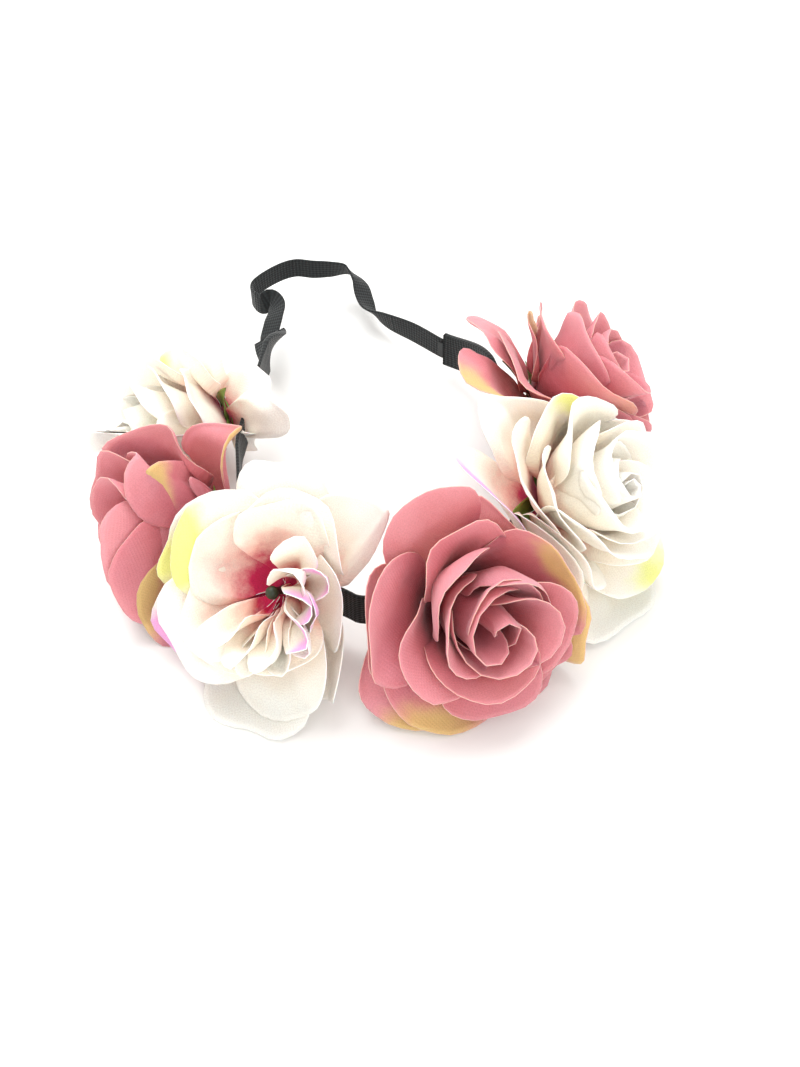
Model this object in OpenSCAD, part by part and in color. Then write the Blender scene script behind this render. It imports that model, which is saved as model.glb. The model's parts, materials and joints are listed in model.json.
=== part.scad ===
// Flower crown: six cloth flowers on a black ribbon, closed at the back by a
// soft flat elastic. Millimetres, +Z up, lying on a table. The origin is the
// centre of the head opening at table height, and the front is towards -Y.

/* [Ribbon] */
// Width of the black ribbon that carries the flowers
ribbon_w = 16; // [12:0.5:20]
// Thickness of the ribbon where it is folded double
ribbon_t = 1.4; // [0.8:0.1:2.2]
// Length of ribbon from one bend to the next, with one flower on each
pitch = 54; // [45:1:66]
// Height of the ribbon's middle line above the table
ribbon_z = 22; // [18:0.5:30]
// Space between two lengths of ribbon beside the bend
bend_gap = 0.8; // [0.6:0.1:1.6]
// Angle that each bend can open by when the crown is stretched over a head
bend_open = 6; // [0:1:12]

/* [Ribbon ends and elastic] */
// Length of the left ribbon end, from the last flower's ribbon to the elastic
left_tab_len = 22; // [16:1:32]
// Length of the right ribbon end
right_tab_len = 34; // [20:1:42]
// Thickness of the folded ribbon end
tab_t = 2.4; // [1.8:0.2:3.6]
// Width of the flat elastic
elastic_w = 10; // [7:0.5:14]
// Thickness of the flat elastic
elastic_t = 1; // [0.6:0.1:1.4]
// Space between the elastic and the left ribbon end, which moves beside it
elastic_gap = 0.4; // [0.3:0.1:1]
// Thickness of the glue that shows where the elastic enters the ribbon
tab_glue_t = 0.5; // [0.3:0.1:0.9]
// Length of that glue along the elastic
tab_glue_len = 2.5; // [1.5:0.5:5]

/* [Flowers] */
// Reach of the outermost petals from the middle of a flower
petal_reach = 44; // [36:1:53]
// Radius of the ball that the outermost petals follow
petal_ball = 52; // [45:1:63]
// Thickness of a layer of petals
petal_t = 0.8; // [0.5:0.1:1.2]
// Rise from one layer of petals to the next along the peg
layer_step = 1.8; // [1.6:0.1:2.4]
// Height of the innermost petals above the ribbon
bud_top = 54; // [44:1:66]
// Radius of the peg that the layers are threaded on
peg_r = 1.5; // [1:0.1:2.2]
// Clearance round the peg in each layer
peg_clear = 0.2; // [0.1:0.05:0.5]

/* [Calyx and glue] */
// Height above the ribbon at which the calyx starts
calyx_z = 5; // [4.5:0.5:8]
// Height of the calyx cup
calyx_h = 5; // [4:0.5:8]
// Radius of the calyx at the petals
calyx_r = 7; // [5:0.5:9]
// Radius of the calyx at the ribbon, and of the glue under it
calyx_foot_r = 4.5; // [3:0.5:5.5]
// Reach of the sepals from the middle of a flower
sepal_reach = 20; // [14:1:26]
// Thickness of a sepal
sepal_t = 0.7; // [0.5:0.1:1]

/* [Hidden] */
$fn = 48;
FLOWERS = ["ivory_left", "rose_left", "ivory_front", "rose_front", "ivory_right", "rose_right"];
LAYERS = 5;

// The ribbon turns by these angles at its five bends, from left to right
bend = [14, 54, 54, 45, 38];
// Heading of the length that carries the third flower, and the bend after it
front_heading = -30;
front_bend = [-8, -102];
// Each flower's tilt above the table, turn about the upright, shift along the
// ribbon and spin about its own axis
tilt = [2, 8, 40, 28, 38, 36];
yaw = [30, 28, 2, 4, -2, -12];
slide = [3, 5, 0, 3, 3, 1];
spin = [10, 25, 18, 54, 30, 0];
// Turn, roll and drop of the two ribbon ends: the left one lies almost flat
tab_turn = [16, 42];
tab_roll = [60, 5];
tab_drop = [6, 8];
// Each is straight for a start, and then is swept in this many steps
tab_start = 2;
tab_steps = 8;
// Share of the elastic's width that the glue covers
tab_glue_share = 0.7;

// Layers of petals: number of petals, then each layer's ball, reach and top,
// all smaller and steeper towards the bud
petal_count = [6, 5, 5, 4, 3];
layer_shrink = [0, 10, 19, 27.5, 35.5];
reach_shrink = [0, 6, 9.5, 18, 26];
layer_top = [bud_top, bud_top - 10, bud_top - 12, bud_top - 8, bud_top - 4];
// Size of a petal's round end as a share of its room, and how far the slits
// between petals come in from the middle of those ends, as a share of them
lobe_fill = 0.93;
slit_depth = 0.9;
// The lowest layer sits on the calyx
hub_room = 0.6;
hub_z = calyx_z + calyx_h + hub_room;
// The peg passes the last layer, and ends in a knob
peg_spare = 5;
peg_top = hub_z + LAYERS * layer_step + peg_spare;
knob_h = 3;
knob_flare = 1.7;
// Sepals: half widths at the root and at the widest place, and where that is
SEPALS = 5;
sepal_root = 4;
sepal_half = 5;
sepal_shoulder = 0.55;
// Cloth is cut in flat facets: sides of a petal's outline and of the balls it
// follows, and how far the lowest facet of such a ball is from its middle
facets = 12;
flat_low = cos(90 / (facets / 2));
// A flower's space: how far it runs out, in and up, past the ends of the ribbon,
// and the angle that is left beside each bend when it is open
wedge_far = 120;
wedge_in = 14;
wedge_top = 120;
end_room = 40;
wedge_spare = 0.5;

// Route of the elastic's middle line from the left ribbon end to the right one,
// each point with its roll away from standing on edge
elastic_route = [
    [-53, 54, 16, 60], [-52, 64, 18, 60], [-51, 71, 19, 50], [-54, 76, 19, 30],
    [-58, 75, 17.5, 12], [-62, 79, 17, 0], [-63, 84, 17, 0], [-59.5, 89, 18, 0],
    [-51.5, 96.5, 18, 0], [-44, 100, 18, 0], [-36, 99, 18, 0], [-27.5, 99, 18, 10],
    [-20, 99.5, 17, 31], [-14.5, 94, 15, 50], [-12, 86, 12, 60], [-9, 79, 10, 45],
    [-2, 73, 9.5, 12], [10.5, 62, 12, -5], [24, 49, 14, -5]];

function dir(a) = [cos(a), sin(a)];
// Heading of length i, and the point where it starts (0 to 6, end to end)
function heading(i) = i == 2 ? front_heading
    : i > 2 ? heading(i - 1) + bend[i - 1]
    : heading(i + 1) - bend[i];
function knot(i) = i == 3 ? front_bend
    : i > 3 ? knot(i - 1) + pitch * dir(heading(i - 1))
    : knot(i + 1) - pitch * dir(heading(i));
// Direction that halves the outer side of the bend at the end of length i
function bisector(i) = (heading(i) + heading(i + 1)) / 2 - 90;

// Smooth curve through a list of vectors, with s steps to a span
function spline(p, s) = let (n = len(p))
    [for (i = [0:n - 2], j = [0:s - 1]) let (t = j / s,
        a = p[max(i - 1, 0)], b = p[i], c = p[i + 1], d = p[min(i + 2, n - 1)])
        0.5 * (2 * b + (c - a) * t + (2 * a - 5 * b + 4 * c - d) * t * t
            + (3 * b - 3 * c + d - a) * t * t * t), p[n - 1]];
function xyz(p) = [p[0], p[1], p[2]];
function unit(v) = v / norm(v);

// A flat strap swept along points that hold a place and a roll, with its width
// upright at a roll of 0; lift moves it off the middle line, across its face
module strap(route, w, t, lift = 0) {
    n = len(route);
    rings = [for (i = [0:n - 1]) let (
        p = xyz(route[i]),
        along = unit(xyz(route[min(i + 1, n - 1)]) - xyz(route[max(i - 1, 0)])),
        up = unit([0, 0, 1] - along[2] * along),
        side = cross(along, up),
        wide = up * cos(route[i][3]) + side * sin(route[i][3]),
        face = cross(along, wide))
        for (c = [[-1, -1], [1, -1], [1, 1], [-1, 1]])
            p + c[0] * w / 2 * wide + (lift + c[1] * t / 2) * face];
    sides = [for (i = [0:n - 2], j = [0:3]) let (
        a = 4 * i + j, b = 4 * i + (j + 1) % 4)
        each [[a, b, a + 4], [b, b + 4, a + 4]]];
    last = 4 * n - 4;
    ends = [[2, 1, 0], [3, 2, 0], [last, last + 1, last + 2], [last, last + 2, last + 3]];
    polyhedron(points = rings, faces = concat(sides, ends));
}

// Points of a ribbon end: it leaves the last length upright, then turns and rolls
function tab_route(e) = let (
    start = e == 0 ? knot(0) : knot(6),
    out = e == 0 ? heading(0) + 180 : heading(5),
    length = e == 0 ? left_tab_len : right_tab_len,
    bent = start + tab_start * dir(out))
    [[start[0], start[1], ribbon_z, 0], for (i = [0:tab_steps]) let (
        u = i / tab_steps, ease = u * u * (3 - 2 * u),
        q = bent + (length - tab_start) * u * dir(out + tab_turn[e] * u / 2))
        [q[0], q[1], ribbon_z - tab_drop[e] * ease, tab_roll[e] * ease]];
function last(list) = list[len(list) - 1];
// Where a ribbon end stops, s beyond it in the way that it points, with its roll
// as the elastic has it, which runs out of the left end and into the right one
function tab_end(e, s = 0) = let (
    route = tab_route(e), end = last(route),
    p = xyz(end) + s * unit(xyz(end) - xyz(route[len(route) - 2])))
    [p[0], p[1], p[2], e == 0 ? end[3] : -end[3]];

module left_tab() color("#1c1f20") strap(tab_route(0), ribbon_w, tab_t);
module right_tab() color("#1c1f20") strap(tab_route(1), ribbon_w, tab_t);

// The elastic's chosen route, moved to meet the ribbon ends wherever they are. It
// leaves each of them straight, for as long as the glue is
function elastic_line() = let (
    n = len(elastic_route),
    from = xyz(tab_end(0)) - xyz(elastic_route[0]),
    to = xyz(tab_end(1)) - xyz(last(elastic_route)))
    concat([tab_end(0, elastic_gap)],
        spline([tab_end(0, elastic_gap + tab_glue_len),
            for (i = [1:n - 2]) let (u = i / (n - 1), p = xyz(elastic_route[i]) + (1 - u) * from + u * to)
                [p[0], p[1], p[2], elastic_route[i][3]],
            tab_end(1, tab_glue_len)], 3),
        [tab_end(1)]);

module elastic() color("#1c1f20") strap(elastic_line(), elastic_w, elastic_t);

// Glue squeezed out of each ribbon end, along the face of the elastic. It keeps the
// same space from the elastic as the left ribbon end does
module tab_glue(e) {
    lift = (elastic_t + tab_glue_t) / 2 + elastic_gap;
    line = e == 0 ? [tab_end(0), tab_end(0, tab_glue_len)] : [tab_end(1, tab_glue_len), tab_end(1)];
    color("#d8dad2") strap(line, elastic_w * tab_glue_share, tab_glue_t, lift);
}
module left_tab_glue() tab_glue(0);
module right_tab_glue() tab_glue(1);

// One length of ribbon on edge, with round ends beside its bends
module ribbon(i) {
    stop = (ribbon_t + bend_gap) / 2;
    from = i == 0 ? 0 : stop;
    to = pitch - (i == 5 ? 0 : stop);
    color("#1c1f20") translate([knot(i)[0], knot(i)[1], ribbon_z - ribbon_w / 2]) rotate(heading(i)) {
        translate([from, -ribbon_t / 2, 0]) cube([to - from, ribbon_t, ribbon_w]);
        if (i > 0) translate([from, 0, 0]) cylinder(r = ribbon_t / 2, h = ribbon_w);
        if (i < 5) translate([to, 0, 0]) cylinder(r = ribbon_t / 2, h = ribbon_w);
    }
}

// Puts a flower's own axis, which is +Z inside, where flower i sits on the ribbon
module on_ribbon(i) {
    q = knot(i) + (pitch / 2 + slide[i]) * dir(heading(i));
    translate([q[0], q[1], ribbon_z]) rotate([0, 90 - tilt[i], heading(i) - 90 + yaw[i]]) rotate(spin[i])
        children();
}

// The space that flower i has between its neighbours while the bends open
module wedge(i) {
    a = knot(i);
    b = knot(i + 1);
    along = dir(heading(i));
    room = bend_open / 2 + wedge_spare;
    a_out = i == 0 ? heading(0) - 90 : bisector(i - 1) + room;
    b_out = i == 5 ? heading(5) - 90 : bisector(i) - room;
    a_in = i == 0 ? heading(0) + 90 : bisector(i - 1) + 180;
    b_in = i == 5 ? heading(5) + 90 : bisector(i) + 180;
    pa = a + (i == 0 ? -end_room : bend_gap) * along;
    pb = b - (i == 5 ? -end_room : bend_gap) * along;
    linear_extrude(height = wedge_top) polygon([pa + wedge_in * dir(a_in), pa, pa + wedge_far * dir(a_out),
        pb + wedge_far * dir(b_out), pb, pb + wedge_in * dir(b_in)]);
}

// Hot glue between the ribbon's outer face and the calyx
module glue(i) color("#d8dad2") intersection() {
    on_ribbon(i) translate([0, 0, -calyx_foot_r * 2])
        cylinder(r = calyx_foot_r, h = calyx_z + calyx_foot_r * 2);
    translate([knot(i)[0], knot(i)[1], 0]) rotate(heading(i))
        translate([0, -ribbon_t / 2 - pitch, 0]) cube([pitch, pitch, ribbon_z * 2]);
}

// A thin ball of cloth that rests on its lowest facet at height z
module ball_shell(ball, t, z) translate([0, 0, z + ball * flat_low]) difference() {
    sphere(r = ball, $fn = facets);
    sphere(r = ball - t, $fn = facets);
}

// Green plastic cup with five sepals, bored for the peg
module calyx(i) color("#5c7a2e") on_ribbon(i) difference() {
    union() {
        translate([0, 0, calyx_z]) cylinder(r1 = calyx_foot_r, r2 = calyx_r, h = calyx_h);
        intersection() {
            ball_shell(petal_ball, sepal_t, calyx_z + calyx_h - sepal_t);
            linear_extrude(height = petal_ball) for (j = [0:SEPALS - 1]) rotate(j * 360 / SEPALS)
                polygon([[0, -sepal_root], [sepal_reach * sepal_shoulder, -sepal_half], [sepal_reach, 0],
                    [sepal_reach * sepal_shoulder, sepal_half], [0, sepal_root]]);
        }
    }
    cylinder(r = peg_r, h = petal_ball);
}

// Dark green plastic peg with a knob that keeps the layers on
module peg(i) color("#2c3a26") on_ribbon(i) {
    translate([0, 0, calyx_z]) cylinder(r = peg_r, h = peg_top - calyx_z);
    translate([0, 0, peg_top]) cylinder(r1 = peg_r * knob_flare, r2 = peg_r, h = knob_h);
}

// One layer of petals, a cut and cupped piece of cloth threaded on the peg
module petals(i, k) {
    ball = petal_ball - layer_shrink[k - 1];
    reach = petal_reach - reach_shrink[k - 1];
    n = petal_count[k - 1];
    hub = hub_z + (k - 1) * layer_step;
    lobe = reach * sin(180 / n) * lobe_fill;
    color(i % 2 == 0 ? "#faf3e6" : "#c9707a") intersection() {
        wedge(i);
        on_ribbon(i) difference() {
            ball_shell(ball, petal_t, hub);
            translate([-2 * ball, -2 * ball, layer_top[k - 1]]) cube(4 * ball);
            rotate(k * 180 / n) linear_extrude(height = 4 * ball) difference() {
                square(6 * ball, center = true);
                circle(r = reach - lobe * slit_depth, $fn = facets);
                for (j = [0:n - 1]) rotate(j * 360 / n) translate([reach - lobe, 0]) circle(r = lobe, $fn = facets);
            }
            cylinder(r = peg_r + peg_clear, h = 2 * ball);
        }
    }
}

for (i = [0:5]) {
    ribbon(i);
    glue(i);
    calyx(i);
    peg(i);
    for (k = [1:LAYERS]) petals(i, k);
}
left_tab();
right_tab();
left_tab_glue();
right_tab_glue();
elastic();
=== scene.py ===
"""Flower crown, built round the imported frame: six cloth flowers on a black ribbon that a soft
flat elastic closes at the back. Each flower is five layers of petals, a calyx, a peg and glue."""
import json

import bpy
import numpy as np
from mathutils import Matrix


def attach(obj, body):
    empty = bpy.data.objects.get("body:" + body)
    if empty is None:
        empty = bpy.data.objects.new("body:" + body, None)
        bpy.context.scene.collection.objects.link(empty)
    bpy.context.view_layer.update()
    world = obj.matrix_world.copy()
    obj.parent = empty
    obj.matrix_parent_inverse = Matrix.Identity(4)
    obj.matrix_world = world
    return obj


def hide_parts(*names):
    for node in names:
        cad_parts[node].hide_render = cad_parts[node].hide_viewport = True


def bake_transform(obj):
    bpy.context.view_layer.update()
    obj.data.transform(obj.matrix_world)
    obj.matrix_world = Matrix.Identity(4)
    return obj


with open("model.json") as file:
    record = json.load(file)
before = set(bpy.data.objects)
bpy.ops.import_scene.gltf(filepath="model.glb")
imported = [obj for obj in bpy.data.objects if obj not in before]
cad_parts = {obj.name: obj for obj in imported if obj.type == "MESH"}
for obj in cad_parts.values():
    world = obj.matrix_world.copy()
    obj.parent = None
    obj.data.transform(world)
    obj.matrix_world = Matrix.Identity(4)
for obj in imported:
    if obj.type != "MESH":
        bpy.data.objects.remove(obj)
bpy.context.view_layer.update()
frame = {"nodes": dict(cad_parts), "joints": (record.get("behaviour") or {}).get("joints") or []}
MM = 0.001


# ---- Studio ---------------------------------------------------------------------------
# A pale matt table under a wide soft box, with a white room round it. The camera looks down
# at the crown from the front, half way up.
def rgb(code):
    """Linear colour of an sRGB hex code: each channel over 255, with the sRGB curve undone."""
    s = np.array([int(code[i:i + 2], 16) for i in (1, 3, 5)]) / 255
    return (*np.where(s <= 0.04045, s / 12.92, ((s + 0.055) / 1.055) ** 2.4), 1.0)


def add(tree, kind, inputs=None, **settings):
    """Adds a shader node with its settings, and gives each named input a value or a socket."""
    node = tree.nodes.new(kind)
    for name, value in settings.items():
        setattr(node, name, value)
    for name, value in (inputs or {}).items():
        if isinstance(value, bpy.types.NodeSocket):
            tree.links.new(value, node.inputs[name])
        else:
            node.inputs[name].default_value = value
    return node


def finish_with(name, surface):
    """A material whose shader is what surface(tree) returns."""
    made = bpy.data.materials.new(name)
    made.use_nodes = True
    tree = made.node_tree
    tree.nodes.clear()
    add(tree, "ShaderNodeOutputMaterial", {"Surface": surface(tree).outputs[0]})
    return made


look_at = np.array([5, -46, 0]) * MM
camera_far = 545 * MM
camera_rise = np.radians(50)
camera = bpy.data.objects.new("camera", bpy.data.cameras.new("camera"))
camera.data.lens = 45.35
camera.data.sensor_width = 36
camera.data.clip_start = 0.01
camera.location = look_at + camera_far * np.array([0, -np.cos(camera_rise), np.sin(camera_rise)])
camera.rotation_euler = (np.pi / 2 - camera_rise, 0, 0)
bpy.context.scene.collection.objects.link(camera)
bpy.context.scene.camera = camera
bpy.context.scene.view_settings.view_transform = "Standard"

table_half = 3.0
table_corners = [(-table_half, -table_half, 0), (table_half, -table_half, 0),
                 (table_half, table_half, 0), (-table_half, table_half, 0)]
table_mesh = bpy.data.meshes.new("table")
table_mesh.from_pydata(table_corners, [], [(0, 1, 2, 3)])
table = bpy.data.objects.new("table", table_mesh)
bpy.context.scene.collection.objects.link(table)
table_mesh.materials.append(finish_with("table_matt_laminate", lambda tree: add(
    tree, "ShaderNodeBsdfPrincipled", {"Base Color": rgb("#f6f7f6"), "Roughness": 0.8,
                                       "Specular IOR Level": 0.2})))


def soft_box(name, place, target, size, watts):
    """A square area light at place that faces target."""
    light = bpy.data.objects.new(name, bpy.data.lights.new(name, "AREA"))
    light.data.size = size
    light.data.energy = watts
    light.location = place
    away = np.array(place) - np.array(target)
    flat = np.hypot(away[0], away[1])
    light.rotation_euler = (np.arctan2(flat, away[2]), 0, np.arctan2(away[0], -away[1]))
    bpy.context.scene.collection.objects.link(light)


soft_box("soft_box_above", (-0.25, 0.45, 1.3), (0, 0, 0), 1.2, 19)
soft_box("soft_box_front", (0.5, -1.2, 0.9), (0, 0, 0), 1.0, 7)
room = bpy.data.worlds.new("white_room")
room.use_nodes = True
room.node_tree.nodes["Background"].inputs["Color"].default_value = rgb("#f9f7f4")
room.node_tree.nodes["Background"].inputs["Strength"].default_value = 1.0
bpy.context.scene.world = room

# ---- Ribbon ---------------------------------------------------------------------------
# One black corded ribbon, folded double, stands on edge under all the flowers and turns
# between them. It is drawn in one piece to each bend, from the middle of the span before it to
# the middle of the span after it.
FLOWERS = ["ivory_left", "rose_left", "ivory_front", "rose_front", "ivory_right", "rose_right"]
BENDS = ["left_rear_bend", "left_front_bend", "front_bend", "right_front_bend", "right_rear_bend"]


end_depth = 0.05


def node_points(name):
    """The different vertices of a CAD node, in millimetres."""
    vertices = frame["nodes"][name].data.vertices
    co = np.empty(3 * len(vertices))
    vertices.foreach_get("co", co)
    return np.unique(np.round(co.reshape(-1, 3) / MM, 3), axis=0)


def far_end(name, start):
    """The middle of a ribbon node's end that lies farthest from start: of its points within
    end_depth of the farthest one."""
    co = node_points(name)
    far = np.hypot(*(co - start)[:, :2].T)
    end = co[far > far.max() - end_depth]
    return np.array([*end[:, :2].mean(0), start[2]])


hinge_at = {j["name"]: np.array(j["pos_m"]) / MM for j in frame["joints"]}
knots = [hinge_at[name] for name in BENDS]
knots = np.array([far_end("ivory_left_ribbon", knots[0]), *knots,
                  far_end("rose_right_ribbon", knots[-1])])
along = np.diff(knots, axis=0)
along /= np.linalg.norm(along, axis=1)[:, None]
ribbon_mid_z = knots[1, 2]
ribbon_width = 16.0
ribbon_thick = 1.3
cord_pitch = 1.15
cord_depth = 0.16


def rows_to_faces(rows, columns, closed=False):
    """Quads between neighbouring points of a grid of rows and columns; closed joins the last
    column to the first."""
    across = columns if closed else columns - 1
    a = (np.arange(rows - 1)[:, None] * columns + np.arange(across)).ravel()
    b = (np.arange(rows - 1)[:, None] * columns + (np.arange(across) + 1) % columns).ravel()
    return np.stack([a, b, b + columns, a + columns], axis=1)


def mesh_piece(name, points, faces, materials, uv=None):
    """An object at the origin with these points in millimetres, smooth, with its own UV map,
    whose unit is 100 mm of cloth."""
    mesh = bpy.data.meshes.new(name)
    mesh.from_pydata((points * MM).tolist(), [], [f.tolist() for f in faces])
    for item in materials:
        mesh.materials.append(item)
    mesh.shade_smooth()
    if uv is not None:
        corner = np.empty(len(mesh.loops), np.int32)
        mesh.loops.foreach_get("vertex_index", corner)
        mesh.uv_layers.new(name="cut").data.foreach_set("uv", uv[corner].astype(np.float32).ravel())
    piece = bpy.data.objects.new(name, mesh)
    bpy.context.scene.collection.objects.link(piece)
    return piece


def smooth_path(points, count):
    """A Catmull-Rom curve through rows of numbers, at count evenly spaced lengths of its first
    three columns."""
    p = np.vstack([2 * points[0] - points[1], points, 2 * points[-1] - points[-2]])
    t = np.linspace(0, 1, 24, endpoint=False)[:, None]
    a, b, c, d = (p[i:len(p) - 3 + i, None] for i in range(4))
    fine = 0.5 * (2 * b + (c - a) * t + (2 * a - 5 * b + 4 * c - d) * t ** 2
                  + (3 * b - 3 * c + d - a) * t ** 3)
    fine = np.vstack([fine.reshape(-1, points.shape[1]), points[-1]])
    run = np.concatenate([[0], np.cumsum(np.linalg.norm(np.diff(fine[:, :3], axis=0), axis=1))])
    at = np.linspace(0, run[-1], count)
    return np.stack([np.interp(at, run, column) for column in fine.T], axis=1), at


def strap(route, lengths, section):
    """Carries a closed section along a route of place and roll. At a roll of 0 the section's
    first axis is upright, and its second runs across the strap's face."""
    place = route[:, :3]
    run = np.gradient(place, axis=0)
    run /= np.linalg.norm(run, axis=1)[:, None]
    up = np.array([0, 0, 1]) - run[:, 2:] * run
    up /= np.linalg.norm(up, axis=1)[:, None]
    side = np.cross(run, up)
    roll = np.radians(route[:, 3:4])
    wide = up * np.cos(roll) + side * np.sin(roll)
    face = np.cross(run, wide)
    grid = (place[:, None] + section[:, 0, None] * wide[:, None]
            + section[:, 1, None] * face[:, None])
    girth = np.concatenate([[0], np.cumsum(np.linalg.norm(np.diff(section, axis=0), axis=1))])
    uv = np.stack(np.broadcast_arrays(lengths[:, None], girth[None, :len(section)]), axis=2)
    return grid, uv / 100


def corded_section(width, thick, pitch, depth):
    """Outline of a flat strap whose two faces are rows of round lengthwise cords: half the
    thickness, less a power of a cosine's distance from its crest, six points to a cord."""
    cords = round(width / pitch)
    w = np.linspace(-0.5, 0.5, cords * 6 + 1)
    ridge = thick / 2 - depth * (1 - np.abs(np.cos(np.pi * w * cords))) ** 1.5
    ridge[[0, -1]] *= 0.35
    top = np.stack([w * width, ridge], axis=1)
    return np.vstack([top, top[::-1] * [1, -1]])


def capped(name, grid, uv, materials):
    """A swept strap as a closed mesh piece, with a flat cap at each end."""
    rows, columns = grid.shape[:2]
    half = columns // 2
    faces = list(rows_to_faces(rows, columns, closed=True))
    for base, turn in ((0, 1), ((rows - 1) * columns, -1)):
        strip = [np.array([base + j, base + columns - 1 - j, base + columns - 2 - j, base + j + 1])
                 for j in range(half - 1)]
        faces += [f[::-turn] for f in strip]
    return mesh_piece(name, grid.reshape(-1, 3), faces, materials, uv.reshape(-1, 2))


def band_scale(thread):
    """A wave node's scale on the UV map: the node's own factor of 20 makes its bands repeat
    every 1.97 times thread, in millimetres."""
    return 100 / thread / 6.283


def black_cloth(name, thread, cross, shine):
    """Dyed polyester, nearly black with a cool cast: matt, with a faint sheen on its threads and
    rows of stitches across the cords, about twice thread millimetres apart."""
    def surface(tree):
        uv = add(tree, "ShaderNodeUVMap", uv_map="cut").outputs[0]
        rows = add(tree, "ShaderNodeTexWave", {
            "Vector": uv, "Scale": band_scale(thread), "Distortion": 0.6, "Detail": 1.0},
            bands_direction="X")
        fuzz = add(tree, "ShaderNodeTexNoise", {"Vector": uv, "Scale": 100 / cross, "Detail": 4.0})
        both = add(tree, "ShaderNodeMath", {0: rows.outputs["Fac"], 1: fuzz.outputs["Fac"]},
                   operation="MULTIPLY")
        tone = add(tree, "ShaderNodeValToRGB", {"Fac": both.outputs[0]})
        tone.color_ramp.elements[0].color = rgb("#111415")
        tone.color_ramp.elements[1].color = rgb("#303638")
        bump = add(tree, "ShaderNodeBump", {
            "Height": both.outputs[0], "Distance": 0.0003, "Strength": 0.7})
        return add(tree, "ShaderNodeBsdfPrincipled", {
            "Base Color": tone.outputs["Color"], "Roughness": 0.78, "Specular IOR Level": 0.3,
            "Sheen Weight": shine, "Sheen Roughness": 0.45, "Normal": bump.outputs[0]})
    return finish_with(name, surface)


grosgrain = black_cloth("polyester_corded_ribbon_woven", 0.9, 0.5, 0.25)
ribbon_section = corded_section(ribbon_width, ribbon_thick, cord_pitch, cord_depth)
middles = (knots[:-1] + knots[1:]) / 2
bend_run = 7.0
bend_inner = 0.4 * bend_run
bend_rings = 40
for i, bend in enumerate(BENDS):
    corner = knots[i + 1]
    straight = np.array([middles[i], corner - bend_run * along[i], corner - bend_inner * along[i],
                         corner + bend_inner * along[i + 1], corner + bend_run * along[i + 1],
                         middles[i + 1]])
    route, lengths = smooth_path(np.hstack([straight, np.zeros((6, 1))]), bend_rings)
    piece = capped("ribbon_at_" + bend, *strap(route, lengths, ribbon_section), [grosgrain])
    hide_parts(FLOWERS[i] + "_ribbon", FLOWERS[i + 1] + "_ribbon")
    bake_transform(piece)

# ---- Ribbon ends ----------------------------------------------------------------------
# Each end of the ribbon is folded over the elastic and glued. The left one lies almost flat,
# the right one stands and turns inwards. Each starts at a knot, past a span of the ribbon, and
# thickens from one ribbon to the fold's two over a short way.
tab_thick = 2.4
tab_start = 2.0
tab_steps = 8
tab_rings = 60
fold_from, fold_over = 20, 12
TABS = {"left_tab": {"length": 22, "turn": 16, "roll": 60, "drop": 6, "knot": 0, "span": 0, "way": -1},
        "right_tab": {"length": 34, "turn": 42, "roll": 5, "drop": 8, "knot": 6, "span": 5, "way": 1}}
tab_ends = {}
for name, tab in TABS.items():
    u = np.linspace(0, 1, tab_steps + 1)
    eased = u * u * (3 - 2 * u)
    flower = FLOWERS[tab["span"]]
    run = along[tab["span"]] * tab["way"]
    heading = np.arctan2(run[1], run[0]) + np.radians(tab["turn"]) * u / 2
    start = knots[tab["knot"]]
    reach = (tab["length"] - tab_start) * u
    route = np.stack([start[0] + tab_start * run[0] + reach * np.cos(heading),
                      start[1] + tab_start * run[1] + reach * np.sin(heading),
                      ribbon_mid_z - tab["drop"] * eased, tab["roll"] * eased], axis=1)
    middle = middles[tab["span"]]
    lead = np.array([[*middle, 0], [*(middle + 0.5 * (start - middle)), 0]])
    route, lengths = smooth_path(np.vstack([lead, route]), tab_rings)
    grid, uv = strap(route, lengths, corded_section(ribbon_width, tab_thick, cord_pitch, cord_depth))
    thin = np.clip((lengths - fold_from) / fold_over, 0, 1)[:, None, None]
    spine = grid.reshape(len(route), 2, -1, 3)
    spine = np.broadcast_to((spine[:, 0] + spine[:, 1, ::-1])[:, None] / 2, spine.shape).copy()
    spine[:, 1] = spine[:, 1, ::-1]
    spine = spine.reshape(grid.shape)
    share = ribbon_thick / tab_thick
    grid = spine + (grid - spine) * (share + (1 - share) * thin * thin * (3 - 2 * thin))
    piece = capped(name + "_folded", grid, uv, [grosgrain])
    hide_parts(name, flower + "_ribbon")
    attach(piece, flower)
    tab_ends[name] = (route[-1], route[-1, :3] - route[-2, :3])

# ---- Elastic --------------------------------------------------------------------------
# A flat knitted elastic, 10 mm wide, stands on edge, curls by the left end and turns over on
# its way to the right one. It is five pieces end to end. Its route is rows of place and roll,
# slid so that its ends meet the ribbon's.
elastic_width = 10.0
elastic_thick = 1.0
elastic_cord, elastic_cord_depth = 1.25, 0.14
elastic_gap = 0.4
straight_out = 2.5
part_rings = 44
elastic_route = np.array([
    [-53, 54, 16, 60], [-52, 64, 18, 60], [-51, 71, 19, 50], [-54, 76, 19, 30],
    [-58, 75, 17.5, 12], [-62, 79, 17, 0], [-63, 84, 17, 0], [-59.5, 89, 18, 0],
    [-51.5, 96.5, 18, 0], [-44, 100, 18, 0], [-36, 99, 18, 0], [-27.5, 99, 18, 10],
    [-20, 99.5, 17, 31], [-14.5, 94, 15, 50], [-12, 86, 12, 60], [-9, 79, 10, 45],
    [-2, 73, 9.5, 12], [10.5, 62, 12, -5], [24, 49, 14, -5]])
(left_end, left_way), (right_end, right_way) = tab_ends["left_tab"], tab_ends["right_tab"]
left_way /= np.linalg.norm(left_way)
right_way /= np.linalg.norm(right_way)
u = np.linspace(0, 1, len(elastic_route))[:, None]
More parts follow.
